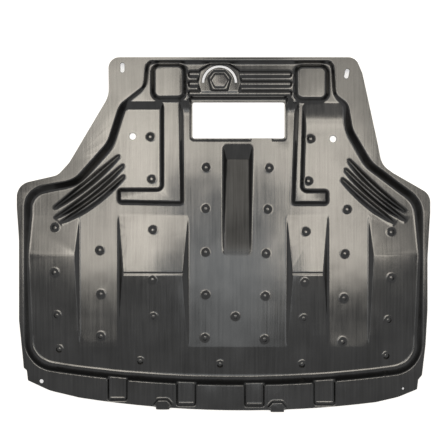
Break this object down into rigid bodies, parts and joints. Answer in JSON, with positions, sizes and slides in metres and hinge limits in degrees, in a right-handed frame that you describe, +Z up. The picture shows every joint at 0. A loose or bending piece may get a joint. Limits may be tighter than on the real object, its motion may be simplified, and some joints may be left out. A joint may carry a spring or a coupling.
{
  "type": "engine splash shield",
  "caption": "Moulded plastic underbody tray for an engine bay, with a raised rim, ribs, pads, studs and a service window.",
  "frame": {"origin": "centre of the bounding box in plan, at the lowest point of the underside", "axes": "+Z up to the engine side, +Y to the vehicle's rear, the curved front edge at -Y, +X across"},
  "size_m": [0.93, 0.797, 0.033],
  "materials": {
    "moulded_plastic": "black moulded polypropylene, satin to glossy, with fine flow streaks"
  },
  "bodies": {
    "root": {"splash_shield": "moulded_plastic"}
  },
  "joints": []
}
